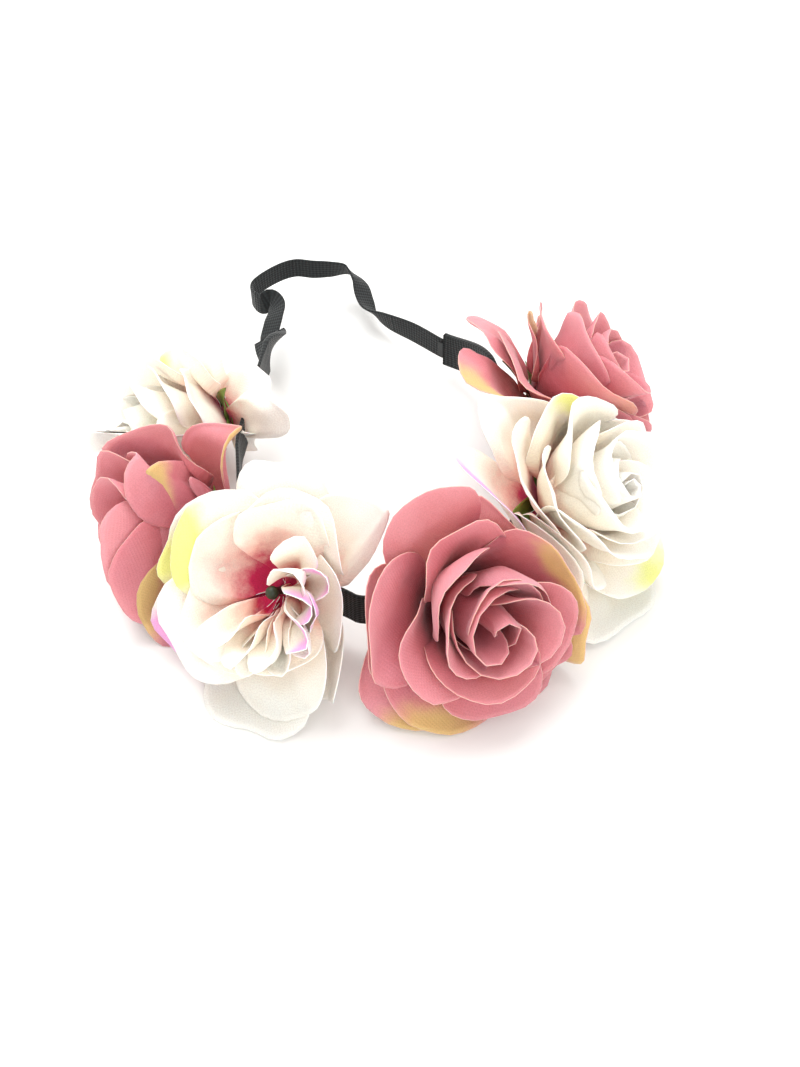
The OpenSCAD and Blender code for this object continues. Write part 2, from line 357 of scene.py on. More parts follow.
elastic_route[:, :3] += ((1 - u) * (left_end[:3] - elastic_route[0, :3])
                         + u * (right_end[:3] - elastic_route[-1, :3]))
elastic_route = np.vstack([[*(left_end[:3] + elastic_gap * left_way), 60],
                           [*(left_end[:3] + (elastic_gap + straight_out) * left_way), 60],
                           elastic_route[1:-1], [*(right_end[:3] + straight_out * right_way), -5],
                           [*right_end[:3], -5]])
knitted = black_cloth("polyester_elastic_knitted", 0.8, 0.6, 0.2)
route, lengths = smooth_path(elastic_route, len(BENDS) * part_rings + 1)
grid, uv = strap(route, lengths, corded_section(elastic_width, elastic_thick, elastic_cord,
                                                elastic_cord_depth))
for i in range(len(BENDS)):
    start = part_rings * i
    cut = slice(start, start + part_rings + 1)
    piece = capped(f"elastic_part_{i + 1}", grid[cut], uv[cut], [knitted])
    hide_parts("elastic")
    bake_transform(piece)

# ---- Where the flowers sit ------------------------------------------------------------
# Each flower stands on its own axis, which the peg gives: the calyx starts 5 mm above the
# ribbon's middle line.
calyx_start = 5.0
seats = []
for name in FLOWERS:
    co = node_points(name + "_peg")
    axis = np.linalg.svd(co - co.mean(0))[2][0]
    outward = np.cross(along[FLOWERS.index(name)], [0, 0, 1])
    axis *= np.sign(axis @ outward)
    foot = co[co @ axis < (co @ axis).min() + end_depth].mean(0)
    right = np.cross([0, 0, 1], axis)
    right /= np.linalg.norm(right)
    seats.append({"base": foot - calyx_start * axis, "axis": axis, "right": right,
                  "up": np.cross(axis, right)})

# A flower's petals press against the table and against its neighbours. The wall between two
# flowers stands on the bend with a little room on each side. It leans where one of them
# overhangs the other, shifts along the ribbon, and swings to and fro with the height, so that
# the petals on its two sides don't end in one flat cut. There is one number to each bend.
wall_room = np.radians([1.2, 1.8, 0.8, 0.8, 0.6])
wall_lean = np.radians([-30, 25, 0, 0, 0])
wall_shift = [0, 0, -3.5, 0, 0]
wall_soft = 9.0
wall_swing = [4, 1.5, 2, 4, 5]
swing_height = 9.0
wall_slide = 0.8
table_soft = 5.0
table_slide = 0.7
last_table_soft = 1.0
touch_gap = 0.5
DOWN = np.array([0, 0, -1])


def walls_of(i):
    """The wall beside flower i at each bend that it has: a point on it, its normal away from the
    flower, the way out along it, which a petal takes when it meets the wall, and its swing."""
    found = {}
    for bend, side in ((i - 1, -1), (i, 1)):
        if 0 <= bend < len(BENDS):
            out = np.cross(along[bend] + along[bend + 1], [0, 0, 1])
            angle = np.arctan2(out[1], out[0]) - side * wall_room[bend]
            way = np.array([np.cos(angle), np.sin(angle), 0])
            flat = side * np.array([-way[1], way[0], 0])
            lean = side * wall_lean[bend]
            found[bend] = (knots[bend + 1] + wall_shift[bend] * along[bend],
                           flat * np.cos(lean) + np.array([0, 0, np.sin(lean)]), way,
                           side * wall_swing[bend])
    return found


def pressed(p, at, normal, way, soft, slide, gap=touch_gap, swing=0.0):
    """Points near a wall move back from it, the more the closer they would come, so that none
    passes it; what they lose in that way they gain along the wall, times slide. The wall swings
    to and fro with the height, as a sine."""
    deep = (p - at) @ normal + swing * np.sin(p[..., 2] / swing_height)
    near = deep + gap + soft
    kept = np.where(deep > -gap - soft, -gap - soft * np.exp(-np.maximum(near, 0) / soft), deep)
    lost = (deep - kept)[..., None]
    return p - lost * normal + slide * lost * way


def seated(i, local):
    """Points of flower i's own frame on the crown, with nothing pressed."""
    seat = seats[i]
    return (seat["base"] + local[..., :1] * seat["right"] + local[..., 1:2] * seat["up"]
            + local[..., 2:] * seat["axis"])


def on_crown(i, local, walls, gap):
    """Puts points of flower i's own frame on the crown, pressed by the walls and the table."""
    p = seated(i, local)
    ahead = seats[i]["axis"] * [1, 1, 0]
    ahead /= np.linalg.norm(ahead)
    p = pressed(p, np.zeros(3), DOWN, ahead, table_soft, table_slide)
    for at, normal, way, swing in walls:
        p = pressed(p, at, normal, way, wall_soft, wall_slide, gap, swing)
    return pressed(p, np.zeros(3), DOWN, ahead, last_table_soft, 0.0)


# ---- Petals ---------------------------------------------------------------------------
# Polyester cloth, cut in one piece with three to seven petals to a layer, dyed, and pressed
# hot into cups with rolled edges. Layers are threaded on the peg, each turned from the last.
peg_hole = 1.7
layer_rise = 1.8
hub_height = 10.6
petal_thick = 0.32
PETAL_ROWS = 26
PETAL_COLUMNS = 25
CLIMB_STEPS = 160
hub_share = 0.3


def ease(x):
    """Smooth step from 0 at 0 to 1 at 1."""
    x = np.clip(x, 0, 1)
    return x * x * (3 - 2 * x)


def petal(form, count, rng):
    """One petal as a grid from its base to its edge. Flat, it is a sector whose end is rounded by
    a power law of `shoulder`, `round` and `point`, with a dip of `notch` in the middle. Bent, its
    middle line climbs by `rise` beyond the hub and by `close` towards the tip; across, it bends
    round the flower's axis by `wrap` and into a cup by `cup`. It leans over its neighbour by
    `twist` and folds along its middle by `fold`; sines give it `dents` and wave its edge by
    `ruffle`, a furrow of `crease` runs down it, and its edge rolls back by `roll`."""
    s = np.linspace(0, 1, PETAL_ROWS)[:, None]
    v = np.sin(np.linspace(-1, 1, PETAL_COLUMNS) * np.pi / 2)[None]
    wave = rng.uniform(0, 2 * np.pi, 8)
    reach = form["reach"] * (form["shoulder"] + (1 - form["shoulder"])
                             * (1 - np.abs(v) ** form["round"]) ** form["point"])
    reach = reach * (1 + 0.02 * np.sin(7 * v + wave[0]) - form["notch"] * np.exp(-(v / 0.22) ** 2))
    reach = reach + 0.12 * rng.standard_normal(v.shape)
    far = peg_hole + (reach - peg_hole) * s
    hub_angle = np.pi / count
    clear = ease(s / hub_share)
    side = v * (hub_angle + (form["half_angle"] - hub_angle) * clear)
    m, y = far * np.cos(side), far * np.sin(side)
    t = np.linspace(0, 1, CLIMB_STEPS)
    climb = np.radians(form["rise"] * ease(t / 0.34) + form["close"] * ease((t - 0.42) / 0.58))
    step = form["reach"] / (len(t) - 1)
    out = np.concatenate([[0], np.cumsum(np.cos(climb)[:-1] * step)])
    high = np.concatenate([[0], np.cumsum(np.sin(climb)[:-1] * step)])
    at = np.maximum(m, 0) / form["reach"]
    slope, r, z = (np.interp(at, t, column) for column in (climb, out, high))
    curve = (form["wrap"] * np.maximum(np.sin(slope), 0) / np.maximum(r, 5)
             + form["cup"] * ease(s / 0.5) + 1e-4)
    turn = curve * y
    inward = (1 - np.cos(turn)) / curve
    edge = ease((s - 0.66) / 0.34)
    rolled = form["roll"] * (0.75 + 0.5 * np.sin(2.3 * v + wave[1])) * edge ** 2
    waves = form["ruffle"] * s ** 2 * (np.sin(5 * v + wave[2]) + 0.6 * np.sin(9 * v + wave[3]) * s)
    dents = form["dents"] * ease(s / 0.4) * (
        np.sin(m / 6.5 + y / 9 + wave[4]) * np.sin(y / 5.5 + wave[5])
        + 0.5 * np.sin(m / 3.7 - y / 4.1 + wave[6]))
    vein = -form["crease"] * np.exp(-(y / 2.2) ** 2) * np.sin(np.pi * s) ** 0.7
    fold = np.tan(np.radians(form.get("fold", 0))) * (np.sqrt(y * y + 1) - 1) * clear
    lift = np.tan(np.radians(form["twist"])) * y * clear - rolled + waves + dents + vein + fold
    r = r - (inward + lift * np.cos(turn)) * np.sin(slope)
    z = z + (inward + lift * np.cos(turn)) * np.cos(slope)
    across = np.sin(turn) / curve - lift * np.sin(turn)
    spread = s * np.ones_like(v)
    return np.stack([r, across, z], axis=2), np.stack([m, y], axis=2), spread, v * np.ones_like(s), far


def turned(points, angle):
    """Points turned about the flower's axis."""
    c, s = np.cos(angle), np.sin(angle)
    x, y = points[..., 0].copy(), points[..., 1].copy()
    points = points.copy()
    points[..., 0] = c * x - s * y
    points[..., 1] = s * x + c * y
    return points


def blot(s, v, at_s, at_v, size_s, size_v):
    """A soft spot of dye on a petal, brightest at one place."""
    return np.exp(-((s - at_s) / size_s) ** 2 - ((v - at_v) / size_v) ** 2)


def angle_between(a, b):
    """Smallest angle between two directions, in degrees."""
    return abs((a - b + 180) % 360 - 180)


def set_tint(mesh, name, values):
    """Stores four numbers at each vertex as a colour attribute."""
    layer = mesh.color_attributes.new(name, "FLOAT_COLOR", "POINT")
    layer.data.foreach_set("color", values.astype(np.float32).ravel())


# One upper petal of the third flower lies behind the fourth one's, across the bend: a wall
# along the fourth ribbon parts them.
bridge_bend = 2
bridge_room = 1.5
bridge_at = knots[bridge_bend + 1]
bridge_in = np.cross([0, 0, 1], along[bridge_bend + 1])
bridge_back = (bridge_at + bridge_room * bridge_in, -bridge_in, np.array([0, 0, 1.0]), 0.0)
bridge_front = (bridge_at, bridge_in, np.array([0, 0, 1.0]), 0.0)

# How steep a petal must stand, in degrees: straight at a neighbour or straight down at the
# table, how much less for each degree between the flowers or of tilt, the power with which this
# fades to the sides, and what each further layer adds.
neighbour_rise, neighbour_less, neighbour_fade = 41, 0.4, 1.5
table_rise, table_less, table_fade = 58, 1.1, 1.2
rise_per_layer = 6


def crowded(i, k, direction, rise):
    """A petal stands up where its neighbours or the table leave no room for it to lie open. The
    angle it needs falls in a straight line with the angle between the flowers, or the tilt."""
    toward = np.cos(np.radians(direction))
    bend = i if toward > 0 else i - 1
    needed = 0
    if 0 <= bend < len(BENDS):
        between = np.degrees(np.arccos(np.clip(along[bend] @ along[bend + 1], -1, 1)))
        needed = (neighbour_rise - neighbour_less * between) * abs(toward) ** neighbour_fade
    tilt = np.degrees(np.arcsin(seats[i]["axis"][2]))
    down = max(-np.sin(np.radians(direction)), 0)
    table_needs = (table_rise - table_less * tilt) * down ** table_fade
    return max(rise, needed + rise_per_layer * (k - 1), table_needs + rise_per_layer * (k - 1))


# How far one petal strays from its layer's form, and the size of a sprayed spot of dye.
DIRECTION_STRAY = (-6, 6)
ARC_STRAY = (-4, 4)
REACH_STRAY = (0.95, 1.05)
RISE_STRAY = (-4, 4)
CLOSE_STRAY = (-9, 9)
ROLL_STRAY = (0.5, 1.4)
GAP_STRAY = (0, 3.5)
spot_at, spot_long, spot_wide = 0.98, 0.26, 0.55


def layer_of_petals(i, k, plan, materials):
    """Layer k of flower i: every petal gets its own small changes, its dye spots, and its place
    round the axis; then the layer is pressed into its place and given its thickness."""
    rng = np.random.default_rng(1000 * i + 17 * k + 3)
    forms = plan["layers"][k - 1]
    count = forms["count"]
    points, flats, tints, marks = [], [], [], []
    for j in range(count):
        form = dict(forms)
        if "arc" in forms:
            direction = forms["start"] + forms["arc"] * (j / (count - 1) - 0.5) + rng.uniform(*ARC_STRAY)
        else:
            direction = forms["start"] + 360 * j / count + rng.uniform(*DIRECTION_STRAY)
        direction %= 360
        for change in plan["changes"]:
            if change["layer"] == k and angle_between(direction, change["at"]) < 180 / count:
                form.update(change["form"])
        direction += form.get("turn", 0)
        form["reach"] *= rng.uniform(*REACH_STRAY)
        form["rise"] += rng.uniform(*RISE_STRAY)
        form["rise"] -= plan["face_up"] * np.sin(np.radians(direction))
        if not form.get("free"):
            form["rise"] = crowded(i, k, direction, form["rise"])
        form["close"] += rng.uniform(*CLOSE_STRAY)
        form["roll"] *= rng.uniform(*ROLL_STRAY)
        xyz, flat, s, v, far = petal(form, count, rng)
        first = second = 0
        for kind, layer, at, strength, at_v in plan["dye"]:
            if layer == k and angle_between(direction, at) < 180 / count:
                spot = strength * blot(s, v, spot_at, at_v, spot_long, spot_wide)
                first, second = (first + spot, second) if kind == 1 else (first, second + spot)
        tone = rng.uniform(0, 1)
        placed = turned(xyz, np.radians(direction)) + [0, 0, hub_height + layer_rise * (k - 1)]
        walls = walls_of(i)
        if form.get("behind"):
            walls[bridge_bend] = bridge_back
        elif i == bridge_bend + 1 and 90 < direction < 200:
            walls["bridge"] = bridge_front
        points.append(on_crown(i, placed, walls.values(), touch_gap + rng.uniform(*GAP_STRAY)))
        flats.append(turned(flat, np.radians(360 * j / count)))
        outward = far / form["reach"] / form.get("heart", 1)
        tints.append(np.stack(np.broadcast_arrays(outward, first, second, tone), axis=2))
        marks.append(np.stack(np.broadcast_arrays(s, np.abs(v), ease((s - 0.9) / 0.1), 1.0), axis=2))
    flats = np.array(flats)
    grid = rows_to_faces(PETAL_ROWS, PETAL_COLUMNS)
    starts = np.arange(count)[:, None, None] * PETAL_ROWS * PETAL_COLUMNS
    faces = (grid[None] + starts).reshape(-1, 4)
    flat = flats.reshape(-1, 2)
    name = f"{FLOWERS[i]}_cloth_{k}"
    piece = mesh_piece(name, np.array(points).reshape(-1, 3), faces, materials, flat / 100)
    set_tint(piece.data, "dye", np.array(tints).reshape(-1, 4))
    set_tint(piece.data, "edge", np.array(marks).reshape(-1, 4))
    thick = piece.modifiers.new("thickness", "SOLIDIFY")
    thick.thickness = petal_thick * MM
    thick.offset = 0
    thick.material_offset_rim = 1
    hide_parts(f"{FLOWERS[i]}_petals_{k}")
    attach(piece, FLOWERS[i])
    return piece


def cloth(name, base, halo, mid, rim, first_dye, second_dye, glow):
    """Woven polyester, dyed in the piece and sprayed by hand: matt, a little light passes, with a
    weave of threads drawn 1 mm apart, since the real 0.2 mm is too fine to show. Outwards it
    goes from the throat's colour through a halo and the middle to the rim's. For the rose this is
    partly its dye and partly painted light: its dark throat and halo paint the shade deep in the
    flower, and its lighter rim paints the light that catches the petal edges."""
    def surface(tree):
        dye = add(tree, "ShaderNodeVertexColor", layer_name="dye")
        part = add(tree, "ShaderNodeSeparateColor", {"Color": dye.outputs["Color"]})
        uv = add(tree, "ShaderNodeUVMap", uv_map="cut").outputs[0]
        cloud = add(tree, "ShaderNodeTexNoise", {
            "Vector": uv, "Scale": 9.0, "Detail": 5.0, "Roughness": 0.6})
        grain = add(tree, "ShaderNodeTexNoise", {"Vector": uv, "Scale": 200.0, "Detail": 2.0})

        def mixed(a, b, share):
            return add(tree, "ShaderNodeMix", {0: share, 6: a, 7: b}, data_type="RGBA").outputs[2]

        def ranged(value, low, high, to_low=0.0, to_high=1.0):
            return add(tree, "ShaderNodeMapRange", {
                "Value": value, "From Min": low, "From Max": high, "To Min": to_low, "To Max": to_high},
                interpolation_type="SMOOTHSTEP").outputs[0]

        def sum_of(a, b, operation="ADD"):
            return add(tree, "ShaderNodeMath", {0: a, 1: b}, operation=operation).outputs[0]

        patchy = ranged(cloud.outputs["Fac"], 0.3, 0.7, -0.06, 0.06)
        out = sum_of(part.outputs["Red"], patchy)
        # Lighter towards the rim: for the rose this is partly painted light on the petal edges.
        colour = mixed(rgb(mid), rgb(rim), ranged(out, 0.55, 1.02))
        tone = ranged(dye.outputs["Alpha"], 0.0, 1.0, 0.0, 0.35)
        colour = mixed(colour, rgb(mid), tone)
        # Darker towards the throat, through the halo to the base: for the ivory this is its magenta dye; for
        # the rose it is partly its dye and partly painted shade deep in the flower.
        colour = mixed(rgb(halo), colour, ranged(out, 0.3, 0.6))
        colour = mixed(rgb(base), colour, ranged(out, 0.2, 0.38))
        for channel, sprayed in (("Green", first_dye), ("Blue", second_dye)):
            spot = ranged(sum_of(part.outputs[channel], patchy), 0.28, 0.75)
            colour = mixed(colour, rgb(sprayed), spot)
        shade = ranged(grain.outputs["Fac"], 0.3, 0.7, 0.93, 1.05)
        colour = add(tree, "ShaderNodeHueSaturation", {"Color": colour, "Value": shade}).outputs[0]
        weave = [add(tree, "ShaderNodeTexWave", {
            "Vector": uv, "Scale": band_scale(0.5), "Distortion": 1.2, "Detail": 1.0},
            bands_direction=way).outputs["Fac"] for way in "XY"]
        height = sum_of(sum_of(*weave, "MULTIPLY"), grain.outputs["Fac"])
        bump = add(tree, "ShaderNodeBump", {"Height": height, "Distance": 0.00012, "Strength": 0.5})
        return add(tree, "ShaderNodeBsdfPrincipled", {
            "Base Color": colour, "Roughness": 0.82, "Specular IOR Level": 0.25, "Sheen Weight": 0.25,
            "Sheen Roughness": 0.5, "Subsurface Weight": glow, "Subsurface Radius": (1.0, 0.7, 0.6),
            "Subsurface Scale": 0.004, "Normal": bump.outputs[0]})
    return finish_with(name, surface)


def raw_edge(name, code):
    """The cut edge of the cloth, where its threads fray: paler than its face, and quite matt."""
    return finish_with(name, lambda tree: add(tree, "ShaderNodeBsdfPrincipled", {
        "Base Color": rgb(code), "Roughness": 0.9, "Subsurface Weight": 0.3,
        "Subsurface Scale": 0.003}))


# The rose's dark throat and halo colours are partly painted shade deep in the flower, and its pale rim colour
# is partly painted light on the petal edges. The rest is its rose dye.
rose_cloth = cloth("polyester_cloth_dyed_rose_painted_shade_and_light", base="#862932", halo="#9c3640", mid="#c5636d",
                   rim="#dc8a94", first_dye="#dcb274", second_dye="#b5444f", glow=0.35)
ivory_cloth = cloth("polyester_cloth_dyed_ivory", base="#c81f50", halo="#f7b9ac", mid="#fff4e2",
                    rim="#fffdf6", first_dye="#e9ee86", second_dye="#f2a0dc", glow=0.4)
cut_edge = raw_edge("polyester_cloth_cut_edge", "#e3b0a8")
pale_edge = raw_edge("polyester_cloth_cut_edge_pale", "#fffdf8")

# A layer's form: the outer ones lie open and roll back at the edge, the inner ones stand up
# and close round the bud. `start` is where the first petal points: 0 is to the right along
# the ribbon as one faces the flower, and 90 is up.
SHAPE = {"twist": 10, "ruffle": 1.1, "dents": 0.7, "crease": 0.4, "shoulder": 0.42, "round": 2.4,
         "point": 0.5, "notch": 0.02}
OPEN_LAYERS = [
    dict(SHAPE, count=6, start=0, reach=51, half_angle=0.66, rise=14, close=2, wrap=0.5, cup=0.012,
         roll=5.0),
    dict(SHAPE, count=5, start=30, reach=49, half_angle=0.74, rise=36, close=0, wrap=0.7, cup=0.014,
         roll=4.5),
    dict(SHAPE, count=5, start=0, reach=48, half_angle=0.72, rise=56, close=2, wrap=0.8, cup=0.016,
         roll=3.6),
    dict(SHAPE, count=4, start=20, reach=46, half_angle=0.8, rise=72, close=6, wrap=0.92, cup=0.018,
         roll=2.6, twist=12),
    dict(SHAPE, count=3, start=0, reach=42, half_angle=0.98, rise=86, close=16, wrap=1.0, cup=0.02,
         roll=1.6, twist=14, ruffle=0.6, dents=0.4, shoulder=0.55, round=2.8)]


def layers_with(*changes):
    """The usual five layers, each with its own changes."""
    return [dict(form, **change) for form, change in zip(OPEN_LAYERS, changes)]


# One plan to a flower, in the order of FLOWERS. `face_up` lets the upper petals lie flatter and
# makes the lower ones stand steeper by so many degrees. An `arc` spreads a layer's petals over
# part of the round only. A change is for the petals of one layer that point about the way `at`:
# `turn` moves them round the axis, `heart` spreads the throat's colour, `free` leaves out the
# rise that crowding asks for, and `behind` lays them behind the next flower. A spot of dye is
# its kind, its layer, the petal's direction, its strength, and its place across the petal.
PLANS = [
    {"face_up": 10,
     "layers": layers_with({"start": 30, "rise": -10, "reach": 46}, {"start": 60, "rise": 34},
                           {"start": 20, "reach": 47}, {"start": 30, "reach": 44}, {"reach": 41}),
     "changes": [{"layer": 1, "at": 90, "form": {"free": True, "rise": -28, "reach": 30}},
                 {"layer": 1, "at": 30, "form": {"free": True, "rise": -26, "reach": 34}},
                 {"layer": 1, "at": 330, "form": {"free": True, "rise": -20, "reach": 38}},
                 {"layer": 1, "at": 150, "form": {"free": True, "rise": 24, "reach": 32}},
                 {"layer": 1, "at": 270, "form": {"free": True, "rise": 12, "reach": 54}},
                 {"layer": 2, "at": 60, "form": {"free": True, "rise": 44, "reach": 37}},
                 {"layer": 2, "at": 132, "form": {"rise": 46, "reach": 37}},
                 {"layer": 2, "at": 276, "form": {"free": True, "rise": 20, "reach": 54}},
                 {"layer": 2, "at": 348, "form": {"free": True, "rise": 34}},
                 {"layer": 3, "at": 92, "form": {"rise": 60, "reach": 38}},
                 {"layer": 3, "at": 308, "form": {"reach": 55}},
                 {"layer": 4, "at": 300, "form": {"reach": 53}},
                 {"layer": 5, "at": 240, "form": {"reach": 48}},
                 {"layer": 5, "at": 0, "form": {"reach": 48}}],
     "dye": [(1, 2, 130, 0.8, 0.5), (1, 2, 350, 1.1, 0.0), (2, 2, 276, 0.8, 0.3), (1, 3, 20, 0.8, 0.0)]},
    {"face_up": 18,
     "layers": layers_with({"start": 35, "rise": 8}, {"start": 60}, {"start": 20}, {"start": 55},
                           {"start": 40}),
     "changes": [{"layer": 1, "at": 335, "form": {"free": True, "rise": 6, "reach": 59, "half_angle": 0.6}},
                 {"layer": 1, "at": 275, "form": {"free": True, "rise": -6, "reach": 56}},
                 {"layer": 1, "at": 95, "form": {"free": True, "rise": 8, "reach": 50}},
                 {"layer": 1, "at": 35, "form": {"free": True, "rise": -2, "reach": 54}},
                 {"layer": 2, "at": 348, "form": {"free": True, "rise": 20, "reach": 56}},
                 {"layer": 2, "at": 60, "form": {"free": True, "rise": 34, "reach": 48}}],
     "dye": [(1, 2, 60, 1.0, 0.2), (1, 1, 95, 0.8, -0.4), (1, 2, 348, 1.0, 0.5)]},
    {"face_up": 0,
     "layers": layers_with({"start": 50}, {"start": 14},
                           {"count": 4, "arc": 200, "rise": 40, "close": 24, "start": 200, "reach": 40,
                            "roll": 6.0, "heart": 1.5},
                           {"start": 340, "arc": 180, "count": 7, "half_angle": 0.5, "reach": 40,
                            "rise": 48, "close": 20, "round": 1.6, "point": 0.8, "fold": 30,
                            "twist": 20, "shoulder": 0.25, "dents": 1.4},
                           {"start": 330, "arc": 160, "count": 6, "half_angle": 0.48, "reach": 44,
                            "rise": 60, "close": 14, "round": 1.6, "point": 0.8, "fold": 34,
                            "twist": 20, "shoulder": 0.25, "dents": 1.6}),
     "changes": [{"layer": 1, "at": 50, "form": {"behind": True, "rise": 16, "reach": 54}},
                 {"layer": 1, "at": 110, "form": {"reach": 47}},
                 {"layer": 2, "at": 86, "form": {"reach": 44}},
                 {"layer": 1, "at": 350, "form": {"free": True, "rise": 8, "reach": 46, "turn": -26}},
                 {"layer": 2, "at": 14, "form": {"free": True, "rise": 28, "reach": 36}},
                 {"layer": 2, "at": 302, "form": {"free": True, "rise": 26, "reach": 50}},
                 {"layer": 1, "at": 230, "form": {"turn": -18}},
                 {"layer": 1, "at": 290, "form": {"reach": 54, "turn": -14}}],
     "dye": [(1, 2, 158, 1.2, 0.3), (1, 1, 160, 0.8, 0.3), (2, 1, 214, 1.3, 0.2), (2, 4, 20, 0.9, 0.0),
             (2, 5, 350, 0.9, 0.0)]},
    {"face_up": -6,
     "layers": layers_with({"start": 48}, {"start": 20}, {"start": 56}, {"start": 0}, {"start": 60}),
     "changes": [{"layer": 1, "at": 48, "form": {"reach": 46}},
                 {"layer": 1, "at": 108, "form": {"reach": 50}},
                 {"layer": 1, "at": 348, "form": {"rise": 14, "reach": 53}},
                 {"layer": 2, "at": 92, "form": {"reach": 43}},
                 {"layer": 3, "at": 56, "form": {"rise": 56, "close": 50, "reach": 46, "roll": 1}},
                 {"layer": 3, "at": 128, "form": {"rise": 46, "close": 44, "reach": 50, "roll": 1}}],
     "dye": [(1, 1, 348, 1.3, 0.0), (1, 2, 20, 1.0, 0.0), (1, 1, 250, 1.0, 0.3), (1, 2, 236, 0.8, 0.0)]},
    {"face_up": 8,
     "layers": layers_with({"start": 10}, {"start": 50}, {"start": 0}, {"start": 20}, {}),
     "changes": [{"layer": 1, "at": 130, "form": {"free": True, "rise": -6, "reach": 52}},
                 {"layer": 1, "at": 190, "form": {"half_angle": 0.8}},
                 {"layer": 1, "at": 250, "form": {"reach": 56}},
                 {"layer": 2, "at": 266, "form": {"reach": 53}},
                 {"layer": 1, "at": 310, "form": {"reach": 54, "turn": -22}},
                 {"layer": 2, "at": 338, "form": {"reach": 53}}],
     "dye": [(2, 1, 130, 1.4, 0.0), (2, 1, 292, 1.2, 0.2), (1, 2, 50, 0.8, 0.0), (1, 2, 266, 0.7, 0.0)]},
    {"face_up": 12,
     "layers": layers_with({"start": 0, "rise": 10, "reach": 50}, {"start": 40}, {"start": 10}, {"start": 20},
                           {"start": 40}),
     "changes": [{"layer": 1, "at": 120, "form": {"free": True, "rise": 6, "reach": 50, "half_angle": 0.85}},
                 {"layer": 1, "at": 60, "form": {"free": True, "rise": 14, "reach": 46, "half_angle": 0.85}},
                 {"layer": 1, "at": 0, "form": {"free": True, "rise": 22, "reach": 44}},
                 {"layer": 2, "at": 112, "form": {"rise": 34, "reach": 44, "half_angle": 0.85}},
                 {"layer": 2, "at": 40, "form": {"rise": 40, "reach": 42}},
                 {"layer": 3, "at": 82, "form": {"reach": 42}},
                 {"layer": 1, "at": 240, "form": {"reach": 56}}],
     "dye": [(1, 1, 120, 1.1, 0.0), (1, 2, 40, 1.1, 0.0), (1, 1, 0, 0.8, 0.0), (1, 3, 154, 0.5, 0.3)]}]
for i, plan in enumerate(PLANS):
    finish = [ivory_cloth, pale_edge] if FLOWERS[i].startswith("ivory") else [rose_cloth, cut_edge]
    for k in range(1, 6):
        layer_of_petals(i, k, plan, finish)

# ---- Calyx, peg and glue --------------------------------------------------------------
# Moulded polyethylene: a ribbed green cup with five leafy sepals under each flower, and a dark
# peg with a round knob that holds the layers. A blob of hot glue joins the cup to the ribbon.
calyx_height = 5.0
calyx_foot = 4.5
calyx_top = 7.0
SEPALS = 5
sepal_start, sepal_reach = 3, 23.0
sepal_neck, sepal_width = 2.2, 4.6
sepal_half_thick = 0.35
sepal_cup, sepal_droop = 0.05, 0.75
midrib_deep, midrib_wide = 0.35, 0.7
SEPAL_RISE = (10, 22)
peg_radius = 1.5
peg_top = 24.6
knob_radius, knob_high = 2.55, 2.4
glue_long, glue_deep, glue_tall = 5.6, 2.7, 5.2
glue_out = 3.2


def moulded(name, light, dark, gloss, grain_mm):
    """Injection-moulded plastic: even colour with faint cloudy streaks, satin, and a fine grain
    from the mould."""
    def surface(tree):
        place = add(tree, "ShaderNodeTexCoord").outputs["Object"]
        cloud = add(tree, "ShaderNodeTexNoise", {"Vector": place, "Scale": 160.0, "Detail": 3.0})
        grain = add(tree, "ShaderNodeTexNoise", {
            "Vector": place, "Scale": 1000 / grain_mm, "Detail": 2.0})
        tone = add(tree, "ShaderNodeValToRGB", {"Fac": cloud.outputs["Fac"]})
        tone.color_ramp.elements[0].position = 0.35
        tone.color_ramp.elements[1].position = 0.68
        tone.color_ramp.elements[0].color = rgb(dark)
        tone.color_ramp.elements[1].color = rgb(light)
        bump = add(tree, "ShaderNodeBump", {
            "Height": grain.outputs["Fac"], "Distance": 0.0001, "Strength": 0.4})
        return add(tree, "ShaderNodeBsdfPrincipled", {
            "Base Color": tone.outputs["Color"], "Roughness": gloss, "IOR": 1.5,
            "Subsurface Weight": 0.15, "Subsurface Scale": 0.002, "Normal": bump.outputs[0]})
    return finish_with(name, surface)


leaf_plastic = moulded("polyethylene_moulded_leaf_green", "#6d8c3a", "#4a6726", 0.5, 0.6)
peg_plastic = moulded("polyethylene_moulded_dark_green", "#34452b", "#1f2c1b", 0.42, 0.6)


def set_glue(tree):
    """Hot-melt glue, set cloudy: pale, glossy and half clear, with a few tiny bubbles."""
    place = add(tree, "ShaderNodeTexCoord").outputs["Object"]
    bubbles = add(tree, "ShaderNodeTexVoronoi", {"Vector": place, "Scale": 900.0})
    bump = add(tree, "ShaderNodeBump", {"Height": bubbles.outputs["Distance"], "Distance": 0.0001,
                                        "Strength": 0.3})
    return add(tree, "ShaderNodeBsdfPrincipled", {
        "Base Color": rgb("#e4e3d6"), "Roughness": 0.22, "IOR": 1.48, "Transmission Weight": 0.25,
        "Subsurface Weight": 0.6, "Subsurface Scale": 0.003, "Normal": bump.outputs[0]})


hot_glue = finish_with("ethylene_vinyl_hot_glue_set", set_glue)


def turned_form(profile, ribs=0, rib_depth=0.0, columns=40):
    """A closed profile of radius and height turned round the flower's axis; ribs wave its radius
    as a cosine of the angle. It begins and ends on the axis."""
    angle = np.linspace(0, 2 * np.pi, columns, endpoint=False)[None]
    r, z = profile[:, :1], profile[:, 1:]
    r = r * (1 + rib_depth * np.cos(ribs * angle))
    return np.stack([r * np.cos(angle), r * np.sin(angle), z * np.ones_like(angle)], axis=2)


def joined_sheets(sheets):
    """Points and faces of several grids, each closed round its columns."""
    points, faces, start = [], [], 0
    for grid in sheets:
        rows, columns = grid.shape[:2]
        points.append(grid.reshape(-1, 3))
        faces.append(rows_to_faces(rows, columns, closed=True) + start)
        start += rows * columns
    return np.vstack(points), np.vstack(faces)


